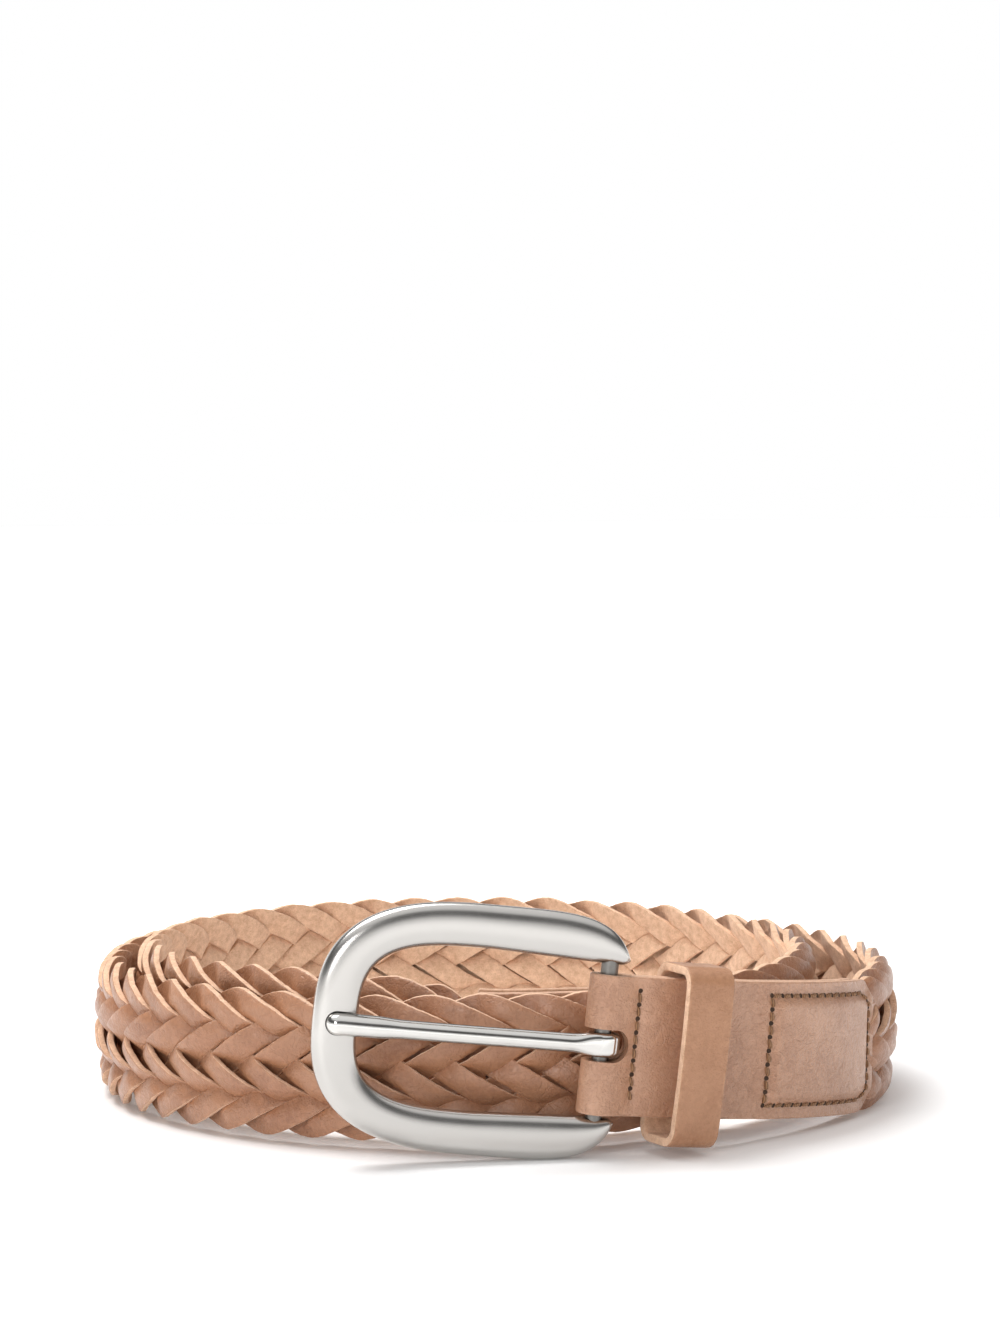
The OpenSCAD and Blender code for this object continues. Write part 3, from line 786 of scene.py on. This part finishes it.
satin_plate, tree, shader = new_material("satin_plate")
place = tree.nodes.new("ShaderNodeTexCoord")
cloud = texture(tree, "Noise", place.outputs["Object"], scale=160, Detail=3.0)
link(tree, (colour_mix(tree, cloud.outputs["Fac"], (0.52, 0.50, 0.478), (0.56, 0.543, 0.52)),
            shader.inputs["Base Color"]),
     (stretch(tree, 0.3, 0.7, cloud.outputs["Fac"], 0.24, 0.27), shader.inputs["Roughness"]))
shader.inputs["Metallic"].default_value = 1
buckle.data.materials.clear()
buckle.data.materials.append(satin_plate)
face_outwards(buckle, 50)
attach(buckle, "buckle")
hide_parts("buckle_frame")

# the bar is plain steel, and keeps its own solid
bar_steel, tree, shader = new_material("bar_steel")
place = tree.nodes.new("ShaderNodeTexCoord")
cloud = texture(tree, "Noise", place.outputs["Object"], scale=500, Detail=3.0)
link(tree, (colour_mix(tree, cloud.outputs["Fac"], (0.16, 0.15, 0.14), (0.24, 0.23, 0.215)),
            shader.inputs["Base Color"]),
     (stretch(tree, 0.3, 0.7, cloud.outputs["Fac"], 0.3, 0.42), shader.inputs["Roughness"]))
shader.inputs["Metallic"].default_value = 1
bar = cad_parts["buckle_bar"]
bar.data.materials.clear()
bar.data.materials.append(bar_steel)

# ---- Prong ----------------------------------------------------------------
# A polished rod with a flattened root that curls round the bar inside the
# tab's slot, so it swings freely; its tip lies in a seat in the frame.
PRONG_D, SHANK_D = 4.8 * MM, 4.1 * MM
ROOT_W, ROOT_T = 5.2 * MM, 1.95 * MM
ROOT_HALF_T = ROOT_T / 2 + 0.55 * MM
ROOT_POWER = 3.4
RING_R = BAR_R + 0.08 * MM
# the rod's middle line, in distances from the bar: it rises from the root to the
# frame's front and bends a little at the tip; the rod thickens towards its tip
NEAR_X, TIP_X = 0.4 * MM, -59.4 * MM
NEAR_Y, FAR_Y = -2.33 * MM, -FRAME_T / 2 - PRONG_D / 2 + 1.25 * MM
RISE_RUN = 40 * MM
TIP_BEND, BEND_FROM, BEND_RUN = 0.45 * MM, 46 * MM, 12 * MM
THICK_FROM, THICK_RUN = 43 * MM, 6 * MM
ROOT_FROM, ROOT_RUN = 7 * MM, 6 * MM
END_SHARE = 0.07
NOSE = PRONG_D / 2

bpy.ops.mesh.primitive_uv_sphere_add(segments=32, ring_count=96, radius=1)
prong = bpy.context.object
prong.name = prong.data.name = "prong"
ball = flat_points(prong)
t = np.arccos(np.clip(ball[:, 2], -1, 1)) / np.pi
around = np.arctan2(ball[:, 1], ball[:, 0])
nose_turn = (t - 1 + END_SHARE) / END_SHARE * np.pi / 2
at_nose = t > 1 - END_SHARE
x = NEAR_X + (TIP_X - NEAR_X + NOSE) * np.clip((t - END_SHARE) / (1 - 2 * END_SHARE), 0, 1)
x = np.where(at_nose, TIP_X + NOSE * (1 - np.sin(nose_turn)), x)
cap = np.where(at_nose, np.cos(nose_turn), np.clip(t / END_SHARE, 0, 1))
near_root = ramp((x + ROOT_FROM) / ROOT_RUN)
rod_r = mix(SHANK_D / 2, PRONG_D / 2, ramp((-x - THICK_FROM) / THICK_RUN))
half_w = mix(rod_r, ROOT_W / 2 - 0.04 * MM, near_root)
half_t = mix(rod_r, ROOT_HALF_T, near_root)
rod_y = mix(NEAR_Y, FAR_Y, ramp(-x / RISE_RUN)) + TIP_BEND * ramp((-x - BEND_FROM) / BEND_RUN)
across, depth = box_round(around, mix(2, ROOT_POWER, near_root))
lay(prong, np.stack([x, rod_y + cap * half_t * depth, cap * half_w * across], -1))
bpy.ops.mesh.primitive_cylinder_add(vertices=96, radius=RING_R + ROOT_T, depth=ROOT_W)
root = bpy.context.object
rounding = root.modifiers.new("rounding", "BEVEL")
rounding.width, rounding.segments, rounding.angle_limit = 1.3 * MM, 6, math.radians(60)
bpy.ops.object.modifier_apply(modifier="rounding")
joined = prong.modifiers.new("joined", "BOOLEAN")
joined.object, joined.operation, joined.solver = root, "UNION", "EXACT"
bpy.context.view_layer.objects.active = prong
bpy.ops.object.modifier_apply(modifier="joined")
bpy.data.objects.remove(root)
bpy.ops.mesh.primitive_cylinder_add(vertices=96, radius=RING_R, depth=ROOT_W * 2)
cut_away(prong, bpy.context.object)
prong.data.transform(bar_axes @ swung_in)

polished_steel, tree, shader = new_material("polished_steel")
place = tree.nodes.new("ShaderNodeTexCoord")
haze = texture(tree, "Noise", place.outputs["Object"], scale=220, Detail=3.0)
link(tree, (colour_mix(tree, haze.outputs["Fac"], (0.62, 0.605, 0.58), (0.72, 0.705, 0.68)),
            shader.inputs["Base Color"]),
     (stretch(tree, 0.3, 0.7, haze.outputs["Fac"], 0.12, 0.19), shader.inputs["Roughness"]))
shader.inputs["Metallic"].default_value = 1
prong.data.materials.clear()
prong.data.materials.append(polished_steel)
face_outwards(prong, 40)
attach(prong, "prong")
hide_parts("prong")

# ---- Keeper ---------------------------------------------------------------
# A band of the same leather bent into a flat loop that slides on the tab, its
# ends meeting at the back, where a wire staple goes through both.
KEEPER_W, KEEPER_T = 11 * MM, 1.9 * MM
KEEPER_AT, KEEPER_DROP = 19 * MM, 1.2 * MM
FRONT_GAP, BACK_GAP = 5.4 * MM, 1.4 * MM
KEEPER_H = 35 * MM
KEEPER_BEND = 3.05 * MM
KEEPER_JOIN = 0.3 * MM
KEEPER_DOME = 0.5 * MM
KEEPER_WAVE, WAVE_RATE = 0.25 * MM, 60
keeper_deep = FRONT_GAP + 2 * (CLOSED_MID + LEATHER_T / 2) + BACK_GAP + KEEPER_T
keeper_high = KEEPER_H + KEEPER_T
at, along, across, out = (v[0] for v in strap_axes(np.array([KEEPER_AT])))
at = at - out * (BACK_GAP - FRONT_GAP) / 2 - across * KEEPER_DROP

straight_deep, straight_high = keeper_deep - 2 * KEEPER_BEND, keeper_high - 2 * KEEPER_BEND
corner = KEEPER_BEND * math.pi / 2
loop_len = 2 * (straight_deep + straight_high + 2 * corner)


def loop_place(u, rise):
    """Place outwards and upwards on the loop, at a length from the middle of its front."""
    side, u = np.sign(u), abs(u)
    stops = np.cumsum([0, straight_high / 2, corner, straight_deep, corner])
    r = KEEPER_BEND + rise
    first_turn = np.clip((u - stops[1]) / corner, 0, 1) * np.pi / 2
    last_turn = np.clip((u - stops[3]) / corner, 0, 1) * np.pi / 2
    o = (straight_deep / 2 + r * np.cos(first_turn)
         - np.clip(u - stops[2], 0, straight_deep) - r * np.sin(last_turn))
    h = (np.clip(u, 0, stops[1]) + r * np.sin(first_turn)
         - r * (1 - np.cos(last_turn)) - np.clip(u - stops[4], 0, straight_high / 2))
    return o, side * h


keeper = leather_strip("keeper_band", loop_len - KEEPER_JOIN, KEEPER_W, KEEPER_T, 260, 14, 0.3 * MM)
flat = flat_points(keeper)
o, h = loop_place(flat[:, 0], flat[:, 2])
dome = KEEPER_DOME * np.cos(np.clip(h / (KEEPER_H / 2), -1, 1) * np.pi / 2) * (o > 0)
skew = KEEPER_WAVE * np.sin(flat[:, 0] * WAVE_RATE)
lay(keeper, at + along * (flat[:, 1] + skew)[:, None] + out * (o + dome)[:, None]
    + across * h[:, None])
keeper_grain = grain_leather("keeper_grain", dark=(0.30, 0.13, 0.06), mid=(0.41, 0.198, 0.102),
                             light=(0.54, 0.29, 0.165), rough=(0.34, 0.5), crease=0.3, bump=0.6)
cover(keeper, keeper_grain, strip_edge)
face_outwards(keeper)
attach(keeper, "keeper")
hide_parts("keeper_loop")

# the staple at the back keeps its own solid
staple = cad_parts["keeper_staple"]
staple.data.materials.clear()
staple.data.materials.append(bar_steel)

# ---- Surroundings ---------------------------------------------------------
# The belt stands on its edge on a white sheet under broad soft light.
scene = bpy.context.scene
white_sheet, tree, shader = new_material("white_sheet")
shader.inputs["Base Color"].default_value = (0.9, 0.9, 0.9, 1)
shader.inputs["Roughness"].default_value = 0.6
shader.inputs["Emission Strength"].default_value = 1
place = tree.nodes.new("ShaderNodeTexCoord")
reach = tree.nodes.new("ShaderNodeVectorMath")
reach.operation = "LENGTH"
# the sheet glows, as painted light: faintly near the belt, so that its shadows stay, and up to
# plain white away from it
FADE_FROM, FADE_TO, NEAR_GLOW = 0.2, 0.55, 0.1
glow = stretch(tree, FADE_FROM, FADE_TO, reach.outputs["Value"], NEAR_GLOW, 1.0)
link(tree, (place.outputs["Object"], reach.inputs[0]), (glow, shader.inputs["Emission Color"]))
bpy.ops.mesh.primitive_plane_add(size=8)
floor = bpy.context.object
floor.name = "floor"
floor.data.materials.append(white_sheet)

world = bpy.data.worlds.new("white_room")
scene.world = world
world.use_nodes = True
tree = world.node_tree
sky = tree.nodes.new("ShaderNodeTexCoord")
split = tree.nodes.new("ShaderNodeSeparateXYZ")
bands = tree.nodes.new("ShaderNodeValToRGB")
bands.color_ramp.interpolation = "EASE"
# a dark band in a white room, which the metal shows as its dark lines
for height_up, grey in ((0.02, 1.0), (0.14, 1.0), (0.24, 0.12), (0.55, 0.12), (0.72, 0.9)):
    mark = bands.color_ramp.elements.new(height_up)
    mark.color = (grey, grey, grey, 1)
bands.color_ramp.elements[0].color = (1, 1, 1, 1)
link(tree, (sky.outputs["Generated"], split.inputs[0]), (split.outputs["Z"], bands.inputs[0]),
     (bands.outputs[0], tree.nodes["Background"].inputs["Color"]))


def soft_light(name, place, target, size, watts):
    lamp = bpy.data.lights.new(name, "AREA")
    lamp.shape, lamp.size, lamp.size_y = "RECTANGLE", size, size
    lamp.energy = watts
    holder = bpy.data.objects.new(name, lamp)
    scene.collection.objects.link(holder)
    holder.location = place
    holder.rotation_euler = (Vector(target) - Vector(place)).to_track_quat("-Z", "Y").to_euler()


soft_light("top_light", (-0.25, 0.3, 0.95), target=(0, 0, 0), size=0.7, watts=11)
soft_light("front_light", (-0.9, -1.2, 0.55), target=(0, 0, 0.03), size=0.4, watts=5.5)

scene.view_settings.view_transform = "Standard"
scene.view_settings.look = "None"

CAMERA_ANGLE, CAMERA_REACH, CAMERA_UP = math.radians(15.5), 0.9, 0.16
camera_data = bpy.data.cameras.new("camera")
camera = bpy.data.objects.new("camera", camera_data)
scene.collection.objects.link(camera)
scene.camera = camera
camera.location = (-CAMERA_REACH * math.sin(CAMERA_ANGLE), -CAMERA_REACH * math.cos(CAMERA_ANGLE),
                   CAMERA_UP)
target = Vector((0, 0, 0.03))
camera.rotation_euler = (target - camera.location).to_track_quat("-Z", "Y").to_euler()
camera_data.sensor_fit, camera_data.sensor_width = "HORIZONTAL", 36
camera_data.lens = 140.3
camera_data.shift_y = 0.294
